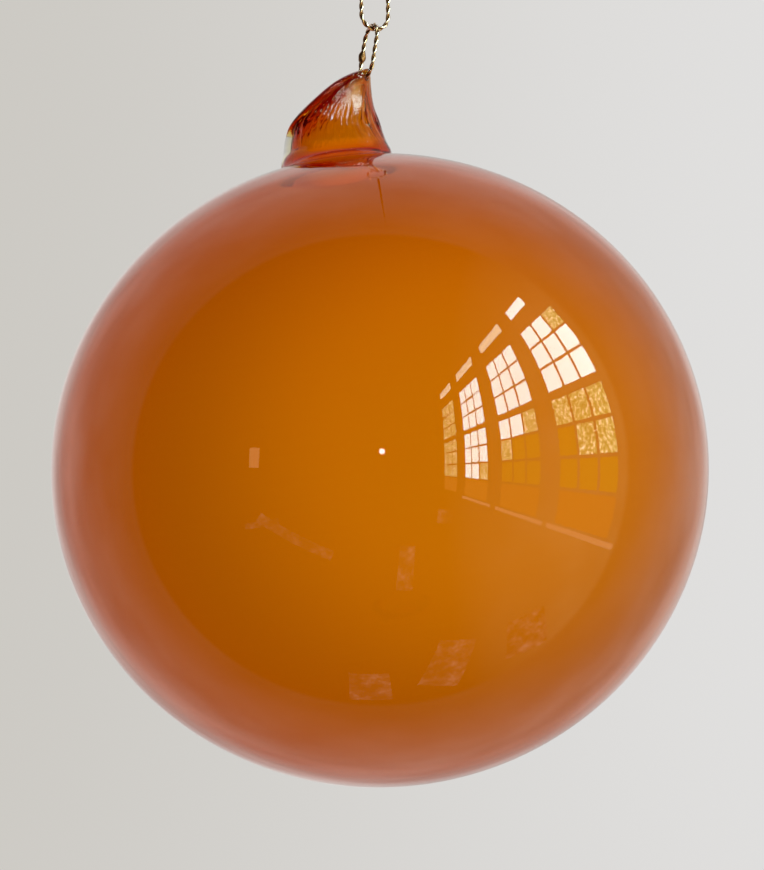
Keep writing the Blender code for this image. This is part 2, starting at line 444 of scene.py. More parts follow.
@dataclass(frozen=True)
class PaleSweep(Finish):
    """Evenly lit matt white paper: the plain pale ground that is seen round and through the glass.

    It is a little brighter on the right, where the light comes from. A pool of light can lie on it,
    behind the glass and a little to its right, with dimmer paper round it.
    """

    name: str
    round_pool: float = 1.0
    left: str = "#CCC9C3"
    right: str = "#E1E0DF"
    fade: float = 0.5
    pool: tuple[float, float, float] = (0.105, 1.5, -0.03)
    pool_edge: Span = (0.14, 0.38)

    def nodes(self, tree: bpy.types.NodeTree) -> dict[str, bpy.types.Node]:
        """Light of its own, fading smoothly from right to left and away from the pool.

        Args:
            tree: the node tree that gets them.

        Returns:
            The light.
        """
        smooth = {"interpolation_type": "SMOOTHSTEP"}
        place = add_node(tree, "TexCoord").outputs["Object"]
        across = add_node(tree, "SeparateXYZ", links={0: place}).outputs["X"]
        fading = smooth | {"From Min": -self.fade, "From Max": self.fade}
        share = add_node(tree, "MapRange", fading, {"Value": across})
        colour = add_node(tree, "ValToRGB", {"ramp": ((0.0, self.left), (1.0, self.right))}, {"Fac": share})
        away = add_node(tree, "VectorMath", {"operation": "DISTANCE", 1: self.pool}, {0: place})
        start, end = self.pool_edge
        falling = smooth | {"From Min": start, "From Max": end, "To Min": 1.0, "To Max": self.round_pool}
        level = add_node(tree, "MapRange", falling, {"Value": away.outputs["Value"]})
        return {"Surface": add_node(tree, "Emission", links={"Color": colour, "Strength": level})}


@dataclass(frozen=True)
class MirroredRoom(Finish):
    """What the gloss picks up: a pale wall behind the object and a dim room before it.

    The wall is brightest straight behind, which gives the glass its pale rim, and dims to its sides.
    The room is nearly dark, faintly mottled, and lighter beside the windows.
    """

    name: str = "mirrored_room"
    dim: str = "#1A1510"
    dim_by_windows: str = "#D0C894"
    wall_side: str = "#6E675F"
    wall_near: str = "#9A948D"
    wall_behind: str = "#DAD7D3"
    edge: float = 0.025
    patches: float = 2.6

    def nodes(self, tree: bpy.types.NodeTree) -> dict[str, bpy.types.Node]:
        """Light of its own, by direction: from the dim room at the front to the bright wall behind.

        Args:
            tree: the node tree that gets them.

        Returns:
            The light.
        """
        place = add_node(tree, "TexCoord").outputs["Object"]
        way = add_node(tree, "VectorMath", {"operation": "NORMALIZE"}, {0: place})
        sides = add_node(tree, "SeparateXYZ", links={0: way}).outputs
        stops = ((0.35, self.dim), (0.85, self.dim_by_windows))
        dim = add_node(tree, "ValToRGB", {"ramp": stops}, {"Fac": sides["X"]})
        stops = ((0.06, self.wall_side), (0.3, self.wall_near), (0.95, self.wall_behind))
        wall = add_node(tree, "ValToRGB", {"ramp": stops}, {"Fac": sides["Y"]})
        turning = {"interpolation_type": "SMOOTHSTEP", "From Min": -self.edge, "From Max": self.edge}
        behind = add_node(tree, "MapRange", turning, {"Value": sides["Y"]})
        both = add_node(tree, "Mix", {"data_type": "RGBA"}, {0: behind, 6: dim, 7: wall}).outputs[2]
        noise = {"Scale": self.patches, "Detail": 2.0, "Roughness": 0.55}
        mottle = add_node(tree, "TexNoise", noise, {"Vector": way})
        spread = {"From Min": 0.35, "From Max": 0.65, "To Min": 0.8, "To Max": 1.3}
        level = add_node(tree, "MapRange", spread, {"Value": mottle})
        return {"Surface": add_node(tree, "Emission", links={"Color": both, "Strength": level})}


@dataclass(frozen=True)
class Glow(Finish):
    """A lit card or diffuser: of one colour, or in flecks of three tones, as leaves and cloth are."""

    name: str
    strength: float
    tones: tuple[str, ...]
    fleck: float = 1.0
    stops: tuple[float, ...] = (0.42, 0.56, 0.68)

    def nodes(self, tree: bpy.types.NodeTree) -> dict[str, bpy.types.Node]:
        """Light of its own, the same all over or broken into flecks by noise.

        Args:
            tree: the node tree that gets them.

        Returns:
            The light.
        """
        if len(self.tones) == 1:
            plain = {"Color": linear(self.tones[0]), "Strength": self.strength}
            return {"Surface": add_node(tree, "Emission", plain)}
        place = add_node(tree, "TexCoord").outputs["Object"]
        noise = {"Scale": 1.0 / self.fleck, "Detail": 3.0, "Roughness": 0.7}
        flecks = add_node(tree, "TexNoise", noise, {"Vector": place})
        ramp = {"ramp": tuple(zip(self.stops, self.tones))}
        colour = add_node(tree, "ValToRGB", ramp, {"Fac": flecks})
        return {"Surface": add_node(tree, "Emission", {"Strength": self.strength}, {"Color": colour})}


def add_object(name: str, mesh: bpy.types.Mesh) -> bpy.types.Object:
    """Puts a mesh into the scene at the origin.

    Args:
        name: the object's name.
        mesh: its mesh, with its place in its points.

    Returns:
        The object.
    """
    thing = bpy.data.objects.new(name, mesh)
    bpy.context.scene.collection.objects.link(thing)
    return thing


def add_stage(name: str, skin: Skin, finish: Finish, seen_by: SeenBy = SeenBy.MIRROR) -> None:
    """Adds a part of the studio, which isn't part of the object.

    Args:
        name: its name.
        skin: its surface.
        finish: what it is lit by.
        seen_by: which rays meet it.
    """
    thing = add_object(name, skin.mesh(name))
    thing.data.materials.append(finish.material())
    for switch in ("camera", "diffuse", "glossy", "transmission", "volume_scatter", "shadow"):
        setattr(thing, f"visible_{switch}", f"visible_{switch}" in seen_by.value)


# ---------------------------------------------------------------- the shapes of the glass


@dataclass(frozen=True)
class BallShape:
    """A turned body, slightly flat along its blowing axis, which leans to the left."""

    width: float = 100.0 * MM
    height: float = 96.4 * MM
    lean: float = math.radians(-3.6)
    neck_lean: float = math.radians(-8.0)
    wall: float = 1.2 * MM
    thinner_right: float = 0.115
    thinner_below: float = 0.03

    def outer(self, polar: np.ndarray, angle: np.ndarray) -> np.ndarray:
        """The ellipsoid's surface: one over the root of the squared shares of its half axes.

        Args:
            polar: angle from the neck's axis.
            angle: angle round it.

        Returns:
            Points from the ball's centre.
        """
        polar, angle = np.broadcast_arrays(polar, angle)
        flat = np.sin(polar)
        way = np.stack([flat * np.cos(angle), flat * np.sin(angle), np.cos(polar)], axis=-1)
        way = turned(way, self.neck_lean, "Y")
        own = turned(way, -self.lean, "Y")
        across = (own[..., 0] ** 2 + own[..., 1] ** 2) / (self.width / 2) ** 2
        return way / np.sqrt(across + own[..., 2] ** 2 / (self.height / 2) ** 2)[..., None]

    def inner(self, polar: np.ndarray, angle: np.ndarray) -> np.ndarray:
        """The cavity: the outer surface drawn in along the radius by the wall.

        The wall thins to the right, by the share x of the half width plus its square, and a little
        downwards. A wall blown by hand is never quite even.

        Args:
            polar: angle from the neck's axis.
            angle: angle round it.

        Returns:
            Points from the ball's centre.
        """
        outer = self.outer(polar, angle)
        share = outer / (self.width / 2)
        x, z = share[..., :1], share[..., 2:]
        wall = self.wall * (1.0 - self.thinner_right * (x + x**2) + self.thinner_below * z)
        return outer * (1.0 - wall / np.linalg.norm(outer, axis=-1, keepdims=True))

    def half_rise(self) -> float:
        """Half the height of the leaning ellipsoid's box."""
        return math.hypot(self.width / 2 * math.sin(self.lean), self.height / 2 * math.cos(self.lean))


@dataclass
class Section:
    """The neck's section at each share of the way up: an ellipse, and a bar for the crest at its left.

    The middle is the ellipse's, and across is the direction from left to right. The ridge is how far
    the outline's left edge lies from the middle, the bead is half the bar's thickness and the tilt
    turns the bar. The twist is how far a point comes forward for each metre that it lies left.
    """

    middle: np.ndarray
    across: np.ndarray
    ridge: np.ndarray
    half_width: np.ndarray
    half_depth: np.ndarray
    bead: np.ndarray
    tilt: np.ndarray
    twist: np.ndarray

    @staticmethod
    def ellipse(half_width: np.ndarray, half_depth: np.ndarray, angle: np.ndarray) -> np.ndarray:
        """How far an ellipse reaches in each direction."""
        return half_width * half_depth / np.hypot(half_depth * np.cos(angle), half_width * np.sin(angle))

    def bar(self, angle: np.ndarray) -> np.ndarray:
        """How far the crest's round-ended bar reaches from the middle in each direction.

        Args:
            angle: the direction, from the right side.

        Returns:
            The reach: the end's arc near the bar's axis, its flat sides beyond, its radius behind.
        """
        length, radius = (self.ridge - self.bead) / np.cos(self.tilt), self.bead
        off = np.pi - np.mod(angle - self.tilt, 2 * np.pi)
        rise = np.maximum(np.abs(np.sin(off)), TINY)
        ahead = np.cos(off)
        arc = length * ahead + np.sqrt(np.maximum(radius**2 - (length * rise) ** 2, 0.0))
        reach = np.where(length * rise < radius * ahead, arc, radius / rise)
        return np.where(ahead <= 0.0, radius, reach)

    def placed(self, reach: np.ndarray, angle: np.ndarray) -> np.ndarray:
        """Sets a reach off from the middle: its cosine across, its sine and the twist in depth.

        Args:
            reach: how far each point lies from the middle.
            angle: in which direction.

        Returns:
            Points from the ball's centre.
        """
        width = reach * np.cos(angle)
        points = self.middle + self.across * width[..., None]
        points[..., 1] += reach * np.sin(angle) + self.twist * width
        return points


@dataclass(frozen=True)
class NeckShape:
    """The drawn neck: an elliptic cone that leans right, with a folded crest along its left side.

    Stations start with their share of the way up. An outline's are followed by X and Z from the
    ball's centre. A span is where something starts and where it is complete. The overhang is how
    far the crest, or the thin lip under it, stands out beyond the ellipse. The bead, half the
    crest's thickness, is held to a share of the half depth. The roll's half wave and where the
    flutes start again are in fold widths, and how far the groove and the pleat reach is in fold
    steps. The hollow's flutes are turned from the outer ones by the hollow turn.
    """

    left: Stations = (
        (0.0, -15.0 * MM, 47.4 * MM),
        (0.16, -14.85 * MM, 49.8 * MM),
        (0.27, -14.6 * MM, 51.4 * MM),
        (0.37, -13.8 * MM, 53.2 * MM),
        (0.60, -9.9 * MM, 57.2 * MM),
        (0.80, -6.2 * MM, 60.3 * MM),
        (1.0, -2.5 * MM, 62.4 * MM),
    )
    right: Stations = (
        (0.0, 1.9 * MM, 49.4 * MM),
        (0.15, 1.0 * MM, 51.0 * MM),
        (0.37, 0.05 * MM, 53.6 * MM),
        (0.60, -0.95 * MM, 56.9 * MM),
        (0.80, -1.4 * MM, 59.8 * MM),
        (1.0, -1.5 * MM, 62.4 * MM),
    )
    foot_depth: float = 6.4 * MM
    tip_depth: float = 1.2 * MM
    cap_start: float = 0.90
    twist: Stations = ((0.0, 0.0), (0.35, 0.05), (0.75, 0.60), (1.0, 0.60))
    overhang: Stations = (
        (0.0, 0.10 * MM),
        (0.05, 0.10 * MM),
        (0.11, 0.95 * MM),
        (0.28, 0.95 * MM),
        (0.40, 0.30 * MM),
        (0.80, 0.25 * MM),
        (1.0, 0.20 * MM),
    )
    bead: Stations = (
        (0.0, 0.05 * MM),
        (0.27, 0.04 * MM),
        (0.40, 0.80 * MM),
        (0.62, 1.10 * MM),
        (0.85, 0.90 * MM),
        (1.0, 0.80 * MM),
    )
    bead_in_depth: float = 0.8
    tilt: Stations = ((0.0, 0.0), (0.30, 0.0), (0.45, 0.22), (0.90, 0.22), (1.0, 0.0))
    blend: float = 14.0
    fold_rise: Span = (0.26, 0.36)
    fold_end: Span = (0.86, 0.95)
    fold_width: float = 1.15 * MM
    fold_height: float = 0.26 * MM
    fold_step: float = 0.20 * MM
    fold_front: float = 0.4 * MM
    fold_wander: Stations = ((0.07, 23.0, 0.0), (0.05, 61.0, 1.0))
    half_wave: float = 1.25
    flutes_again: float = 1.6
    groove: float = 0.20 * MM
    groove_reach: float = 5.0
    pleat_place: float = 2.4 * MM
    pleat_height: float = 0.13 * MM
    pleat_reach: float = 2.0
    flute_depth: float = 0.028
    flute_waves: Stations = (
        (0.28, 13, 0.7, 0.0, 0.0),
        (0.36, 24, 2.1, 4.0, 0.0),
        (0.36, 37, 1.0, -7.0, 0.5),
    )
    flute_rise: Span = (0.12, 0.42)
    flute_thinning: Span = (0.44, 0.60)
    flute_loss: float = 0.8
    flute_end: Span = (0.82, 0.92)
    swell_count: float = 19.0
    comb_rise: Span = (0.02, 0.25)
    comb_thinning: Span = (0.42, 0.62)
    comb_loss: float = 0.2
    screw: float = math.radians(25.0)
    walls: Stations = (
        (0.0, 2.0 * MM),
        (0.06, 1.6 * MM),
        (0.14, 1.35 * MM),
        (0.30, 1.35 * MM),
        (0.60, 1.30 * MM),
        (0.80, 1.00 * MM),
    )
    ridge_wall: Stations = ((0.0, 0.0), (0.25, 0.2 * MM), (0.4, 1.6 * MM), (1.0, 1.6 * MM))
    hollow_top: float = 0.80
    hollow_cap_start: float = 0.62
    hollow_turn: float = 1.0

    @staticmethod
    def along(stations: Stations, share: np.ndarray) -> np.ndarray:
        """The stations' value at each share, read straight between the two nearest."""
        return np.interp(share, *np.array(stations).T)

    @staticmethod
    def along_curve(stations: Stations, share: np.ndarray) -> np.ndarray:
        """Points of an outline: a cubic curve through the stations.

        Its slope at a station is that between the two neighbours.

        Args:
            stations: rows of share, X and Z.
            share: where the curve is read.

        Returns:
            Points with Y at zero.
        """
        table = np.array(stations)
        at, spots = table[:, 0], table[:, 1:]
        before = np.maximum(np.arange(len(at)) - 1, 0)
        after = np.minimum(np.arange(len(at)) + 1, len(at) - 1)
        slopes = (spots[after] - spots[before]) / (at[after] - at[before])[:, None]
        low = np.clip(np.searchsorted(at, share) - 1, 0, len(at) - 2)
        length = (at[low + 1] - at[low])[..., None]
        step = (share[..., None] - at[low][..., None]) / length
        flat = cubic(spots[low], slopes[low] * length, spots[low + 1], slopes[low + 1] * length, step)
        return np.stack([flat[..., 0], np.zeros_like(share), flat[..., 1]], axis=-1)

    def section(self, share: np.ndarray) -> Section:
        """The measures of the section.

        Args:
            share: from 0 at the ball to 1 at the tip.

        Returns:
            The section at each share.
        """
        left = self.along_curve(self.left, share)
        right = self.along_curve(self.right, share)
        across = unit(right - left)
        half_width = (np.linalg.norm(right - left, axis=-1) - self.along(self.overhang, share)) / 2
        middle = right - across * half_width[..., None]
        half_depth = self.tip_depth + (self.foot_depth - self.tip_depth) * (1.0 - share)
        bead = np.minimum(self.along(self.bead, share), self.bead_in_depth * half_depth)
        tilt, twist = self.along(self.tilt, share), self.along(self.twist, share)
        ridge = np.linalg.norm(middle - left, axis=-1)
        return Section(middle, across, ridge, half_width, half_depth, bead, tilt, twist)

    def combed(self, share: np.ndarray) -> np.ndarray:
        """How strongly the glass is combed, up to 1: less at the foot and where the tip was drawn thin."""
        left_at_tip = 1.0 - self.comb_loss * smooth_step(*self.comb_thinning, share)
        return smooth_step(*self.comb_rise, share) * left_at_tip

    def flutes(self, share: np.ndarray, angle: np.ndarray) -> np.ndarray:
        """Fine ridges that climb the neck as a slow screw: a sum of sines of uneven count.

        Each has its height, its count round the neck, where it starts, how it drifts with the share
        of the way up, and how much it swells and sinks along the way.

        Args:
            share: from 0 at the ball to 1 at the tip.
            angle: round the neck.

        Returns:
            A factor near one for the reach.
        """
        turn = angle + self.screw * share
        ridges = np.zeros_like(turn)
        for height, count, start, drift, swell in self.flute_waves:
            wave = np.sin(count * turn + start + drift * share)
            ridges = ridges + height * wave * (1.0 + swell * np.sin(self.swell_count * share))
        left_at_tip = 1.0 - self.flute_loss * smooth_step(*self.flute_thinning, share)
        strength = smooth_step(*self.flute_rise, share) * left_at_tip
        return 1.0 + self.flute_depth * ridges * strength * (1.0 - smooth_step(*self.flute_end, share))

    def fold(self, share: np.ndarray, inward: np.ndarray, depth: np.ndarray) -> np.ndarray:
        """How far the folded glass stands out at the front, over the length of the ridge.

        A round roll, which is most of half a wave, starts at the ridge and ends in a step down. A
        groove and a low pleat follow. The roll's width wanders by a sum of sines of height, count
        and start.

        Args:
            share: from 0 at the ball to 1 at the tip.
            inward: how far the point lies from the outline's left edge.
            depth: how far it lies behind the section's middle.

        Returns:
            The height of the fold, zero behind.
        """
        waves = (height * np.sin(count * share + start) for height, count, start in self.fold_wander)
        wander = sum(waves, start=1.0)
        edge, step = self.fold_width * wander, self.fold_step
        roll = np.sin(np.pi * np.clip(inward / (self.half_wave * edge), 0.0, 1.0))
        roll *= 1.0 - smooth_step(edge - step / 2, edge + step / 2, inward)
        hollow = smooth_step(edge, edge + step, inward)
        hollow *= 1.0 - smooth_step(edge + step, edge + self.groove_reach * step, inward)
        pleat = np.exp(-(((inward - self.pleat_place * wander) / (self.pleat_reach * step)) ** 2))
        height = self.fold_height * roll - self.groove * hollow + self.pleat_height * pleat
        length = smooth_step(*self.fold_rise, share) * (1.0 - smooth_step(*self.fold_end, share))
        return height * smooth_step(0.0, self.fold_front, -depth) * length

    def outer(self, share: np.ndarray, angle: np.ndarray) -> np.ndarray:
        """An ellipse blended with the crest's round-ended bar, shut by a round cap at the tip.

        The blend takes both reaches to a high power, adds them and takes the root, which follows
        whichever is longer. The angles on the left turn with the crest, so that the same points of
        each ring lie on it.

        Args:
            share: from 0 at the ball to 1 at the tip.
            angle: round the neck, from the right side.

        Returns:
            Points from the ball's centre.
        """
        share, angle = np.broadcast_arrays(share, angle)
        cut = self.section(share)
        angle = angle + cut.tilt * (1.0 - np.cos(angle)) / 2
        body = cut.ellipse(cut.half_width, cut.half_depth, angle)
        reach = body * ((cut.bar(angle) / body) ** self.blend + 1.0) ** (1.0 / self.blend)
        closing = np.clip((share - self.cap_start) / (1.0 - self.cap_start), 0.0, 1.0)
        reach = reach * np.sqrt(1.0 - closing**2)
        inward = cut.ridge + reach * np.cos(angle)
        off_roll = smooth_step(self.fold_width, self.flutes_again * self.fold_width, inward)
        reach = reach * (1.0 + (self.flutes(share, angle) - 1.0) * off_roll)
        points = cut.placed(reach, angle)
        points[..., 1] -= self.fold(share, inward, reach * np.sin(angle))
        return points

    def inner(self, share: np.ndarray, angle: np.ndarray) -> np.ndarray:
        """The hollow in the neck: the body's ellipse less the wall, shut by a round cap.

        The glass is thicker along the ridge, where it was folded over.

        Args:
            share: from 0 at the ball to 1 at the tip.
            angle: round the neck.

        Returns:
            Points from the ball's centre.
        """
        share, angle = np.broadcast_arrays(share, angle)
        cut = self.section(share)
        wall = self.along(self.walls, share)
        solid_left = self.along(self.ridge_wall, share) / 2
        cut.middle = cut.middle + cut.across * solid_left[..., None]
        reach = cut.ellipse(cut.half_width - wall - solid_left, cut.half_depth - wall, angle)
        closing = (share - self.hollow_cap_start) / (self.hollow_top - self.hollow_cap_start)
        reach = reach * np.sqrt(1.0 - np.clip(closing, 0.0, 1.0) ** 2)
        return cut.placed(reach * self.flutes(share, angle + self.hollow_turn), angle)


# ---------------------------------------------------------------- the chain


@dataclass(frozen=True)
class RopeLoop:
    """A closed oval of wire in its own XZ plane: two half circles and two straight sides."""

    height: float
    width: float
    wire: float

    def round_radius(self) -> float:
        """The radius of the half circles, at the wire's middle."""
        return (self.width - self.wire) / 2

    def straight(self) -> float:
        """Half the length of a straight side."""
        return (self.height - self.width) / 2

    def at(self, share: np.ndarray) -> tuple[np.ndarray, np.ndarray]:
        """The middle of the wire at a share of the way round, and the direction of its outward side.

        The way runs up the right side, over the top, down the left side and round the bottom. Where
        it runs straight the outward angle stands still, and where it bends that angle grows by way
        over radius.

        Args:
            share: of the way round.

        Returns:
            Points of the middle line, and unit vectors outwards.
        """
        radius, side = self.round_radius(), self.straight()
        bend = math.pi * radius
        way = share * (4 * side + 2 * bend)
        top = np.clip(way - 2 * side, 0.0, bend) / radius
        bottom = np.clip(way - 4 * side - bend, 0.0, bend) / radius
        angle = top + bottom
        outward = np.stack([np.cos(angle), np.zeros_like(way), np.sin(angle)], axis=-1)
        rise = np.clip(way, 0.0, 2 * side) - np.clip(way - 2 * side - bend, 0.0, 2 * side) - side
        return outward * radius + rise[:, None] * np.array([0.0, 0.0, 1.0]), outward

    def tube(self, radius: float, steps: int, sides: int) -> np.ndarray:
        """A plain round tube along the oval.

        Args:
            radius: the tube's.
            steps: rings once round the oval.
            sides: points in a ring.

        Returns:
            Rings of points, steps x sides x 3.
        """
        points, outward = self.at(np.arange(steps) / steps)
        turn = circle(sides)
        across = outward[:, None] * np.cos(turn)[None, :, None]
        across[..., 1] += np.sin(turn)
        return points[:, None] + across * radius


@dataclass(frozen=True)
class SolderDrop:
    """The drop of solder that closes a link: a small lumpy ellipsoid round the wire's left side."""

    height: float = -0.5 * MM
    half_length: float = 1.1 * MM
    radius: float = 0.56 * MM
    lumps: Stations = ((0.07, 2.0, 3.0, 0.0), (0.05, 3.0, -5.0, 1.0))
    shine: float = 0.42
    rings: int = 28
    columns: int = 32

    def skin(self, side: float) -> Skin:
        """The ellipsoid, its radius uneven by a sum of sines.

        Each sine has its height, how often it goes round the drop and down it, and its start.

        Args:
            side: how far the wire's middle lies from the link's.

        Returns:
            The closed drop in the link's own frame, with how far it is rubbed bright.
        """
        polar = np.linspace(math.pi, 0.0, self.rings + 2)[1:-1, None]
        turn = circle(self.columns)[None, :]
        lumps = (
            size * np.sin(across * turn + down * polar + start) for size, across, down, start in self.lumps
        )
        reach = self.radius * np.sin(polar) * sum(lumps, start=1.0)
        z = np.broadcast_to(self.height + self.half_length * np.cos(polar), reach.shape)
        rings = np.stack([reach * np.cos(turn) - side, reach * np.sin(turn), z], axis=-1)
        poles = np.array([[-side, 0.0, self.height + way * self.half_length] for way in (-1, 1)])
        return closed_skin(rings, {"height": np.full(reach.shape, self.shine)}, poles)


@dataclass
class BrassLink:
    """One link: two strands of drawn wire, laid round each other and closed into an oval."""

    link: Link
    turn: float
    lean: float
    solder: SolderDrop | None = None
    slack: float = 0.0
    height: float = 9.4 * MM
    width: float = 5.3 * MM
    wire: float = 0.72 * MM
    lay_turns: int = 8
    steps_a_turn: int = 28
    strand_sides: int = 14
    strand_share: float = 0.27

    def loop(self) -> RopeLoop:
        """The link's own oval, shortened at the top by the slack that it hangs down."""
        return RopeLoop(self.height - self.slack, self.width, self.wire)

    def placed(self, points: np.ndarray) -> np.ndarray:
        """Turns the link about its own height, leans it and hangs it in its place.

        Args:
            points: of the link in its own frame.

        Returns:
            The points where they hang.
        """
        points = turned(turned(points, self.turn, "Z"), self.lean, "Y")
        down = np.array([-math.sin(self.lean), 0.0, -math.cos(self.lean)]) * self.slack / 2
        return points + box_middle(self.link.value) + down

    def strand(self, start: float) -> Skin:
        """One strand: a round tube whose middle runs as a screw round the oval's middle line.

        Args:
            start: the angle at which the screw starts.

        Returns:
            The closed strand, with each point's height over the hollow between the strands.
        """
        steps = self.lay_turns * self.steps_a_turn
        share = np.arange(steps) / steps
        middle, outward = self.loop().at(share)
        screw = (2 * math.pi * self.lay_turns * share + start)[:, None]
        aside = outward * np.cos(screw) + np.array([0.0, 1.0, 0.0]) * np.sin(screw)
        radius = self.wire * self.strand_share
        centre = middle + aside * (self.wire / 2 - radius)
        ahead = unit(np.roll(centre, -1, axis=0) - np.roll(centre, 1, axis=0))
        aside = unit(aside - ahead * np.sum(aside * ahead, axis=-1, keepdims=True))
        third = np.cross(ahead, aside)
        turn = circle(self.strand_sides)
        ring = aside[:, None] * np.cos(turn)[None, :, None] + third[:, None] * np.sin(turn)[None, :, None]
        height = np.broadcast_to((1.0 + np.cos(turn)) / 2, ring.shape[:2])
        return closed_skin(self.placed(centre[:, None] + ring * radius), {"height": height})

    def build(self, finish: bpy.types.Material) -> bpy.types.Object:
        """Makes both strands, and the solder where there is any, as one piece that stands for its node.

        Args:
            finish: the brass.

        Returns:
            The piece.
        """
        skin = self.strand(0.0).joined(self.strand(math.pi))
        if self.solder:
            drop = self.solder.skin(self.loop().round_radius())
            drop.points = self.placed(drop.points)
            skin = skin.joined(drop)
        name = f"{self.link.value}_twisted_wire"
        piece = add_object(name, skin.mesh(name))
        piece.data.materials.append(finish)
        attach(piece, "root")
        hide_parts(self.link.value)
        return piece


# ---------------------------------------------------------------- the ball and its neck


@dataclass(frozen=True)
class Course:
    """How a skin of the glass runs: where it leaves the ball for the neck, and where it ends.

    It leaves at an angle from the neck's axis, arrives at a share of the neck, and the pulls say how
    far the fillet between them keeps each direction. The fan turn turns its fine flutes.
    """

    leave: float
    leave_pull: float
    arrive: float
    arrive_pull: float
    end: float
    columns: int
    neck_rings: int
    fan_turn: float = 0.0


@dataclass
class GlassOrb:
    """The ball and its neck: one piece of glass with an outer skin and an inner one.

    Its eye is cut round the lower link's wire.
    """

    ball: BallShape
    neck: NeckShape
    lower_link: BrassLink
    outside: Course = Course(
        leave=math.radians(11.6),
        leave_pull=4.8 * MM,
        arrive=0.06,
        arrive_pull=3.6 * MM,
        end=1.0,
        columns=400,
        neck_rings=76,
    )
    cavity: Course = Course(
        leave=math.radians(9.4),
        leave_pull=4.8 * MM,
        arrive=0.08,
        arrive_pull=4.8 * MM,
        end=NeckShape.hollow_top,
        columns=200,
        neck_rings=38,
        fan_turn=NeckShape.hollow_turn,
    )
    crowding: float = 0.40
    ball_rings: int = 84
    fillet_rings: int = 8
    probe: float = 0.01
    eye_play: float = 0.15 * MM
    eye_rings: int = 160
    eye_sides: int = 32
    sharp_edge: float = math.radians(50.0)

    def centre(self) -> np.ndarray:
        """The ball's centre, from the node's box: its middle, half a ball above its bottom."""
        x, y, _ = box_middle("glass_orb")
        return np.array([x, y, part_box("glass_orb")[0][2] + self.ball.half_rise()])

    def skin(self, course: Course, ball: Surface, neck: Surface) -> Skin:
        """One skin: the ball from its bottom, a fillet, and the neck to its end.

        The points of a ring stand closer together on the left, where the crest is. The fillet's
        directions are those of each surface over a small probe.

        Args:
            course: how it runs.
            ball: the ball's surface, by the angle from the neck's axis and the angle round it.
            neck: the neck's surface, by the share of the way up and the angle round it.

        Returns:
            The closed skin, with where each point lies on the neck's fan of lines and how strongly
            the glass is combed there.
        """
        even = circle(course.columns)
        angle = (even + self.crowding * np.sin(even))[None, :]
        polar = math.pi - (math.pi - course.leave) * np.arange(1, self.ball_rings + 1) / self.ball_rings
        body = ball(polar[:, None], angle)
        last, first = body[-1:], neck(np.array([[course.arrive]]), angle)
        leave = unit(ball(np.array([[course.leave - self.probe]]), angle) - last) * course.leave_pull
        arrive = unit(neck(np.array([[course.arrive + self.probe]]), angle) - first) * course.arrive_pull
        step = np.arange(1, self.fillet_rings + 1) / (self.fillet_rings + 1)
        fillet = cubic(last, leave, first, arrive, step[:, None, None])
        climb = np.sin(0.5 * math.pi * np.arange(course.neck_rings) / course.neck_rings)
        share = course.arrive + (course.end - course.arrive) * climb
        rings = np.concatenate([body, fillet, neck(share[:, None], angle)])
        shares = np.concatenate([np.zeros(self.ball_rings + self.fillet_rings), share])[:, None]
        turn = angle + self.neck.screw * shares + course.fan_turn
        fan = np.stack([np.cos(turn), np.sin(turn), np.broadcast_to(shares, turn.shape)], axis=-1)
        drawn = np.broadcast_to(self.neck.combed(shares), turn.shape)
        ends = ((ball, math.pi), (neck, course.end))
        poles = np.array([surface(np.array(end), np.array(0.0)) for surface, end in ends])
        return closed_skin(rings, {"fan": fan, "drawn": drawn}, poles)

    def eye_skin(self) -> Skin:
        """What the eye's cut takes away.

        Returns:
            The lower link's wire with play round it.
        """
        loop = self.lower_link.loop()
        tube = loop.tube(loop.wire / 2 + self.eye_play, self.eye_rings, self.eye_sides)
        rings = self.lower_link.placed(tube)
        return closed_skin(rings, {"fan": np.zeros_like(rings), "drawn": np.zeros(rings.shape[:2])})

    def build(self, finish: bpy.types.Material) -> bpy.types.Object:
        """Makes the skins, cuts the eye and dresses the piece.

        Args:
            finish: the glass.

        Returns:
            The piece.
        """
        cavity = self.skin(self.cavity, self.ball.inner, self.neck.inner).inside_out()
        skin = self.skin(self.outside, self.ball.outer, self.neck.outer).joined(cavity).moved(self.centre())
        rough = add_object("orb_before_cutting", skin.mesh("orb_before_cutting"))
        eye = add_object("eye", self.eye_skin().mesh("eye"))
        cut = rough.modifiers.new("eye", "BOOLEAN")
        cut.operation = "DIFFERENCE"
        cut.solver = "EXACT"
        cut.object = eye
        depsgraph = bpy.context.evaluated_depsgraph_get()
        mesh = bpy.data.meshes.new_from_object(rough.evaluated_get(depsgraph))
        for thing in (eye, rough):
            bpy.data.objects.remove(thing, do_unlink=True)
        mesh.name = "glass_orb_blown"
        mesh.materials.append(finish)
        mesh.shade_smooth()
        mesh.set_sharp_from_angle(angle=self.sharp_edge)
        piece = add_object("glass_orb_blown", mesh)
        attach(piece, "root")
        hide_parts("glass_orb")
        return piece


# ---------------------------------------------------------------- the studio


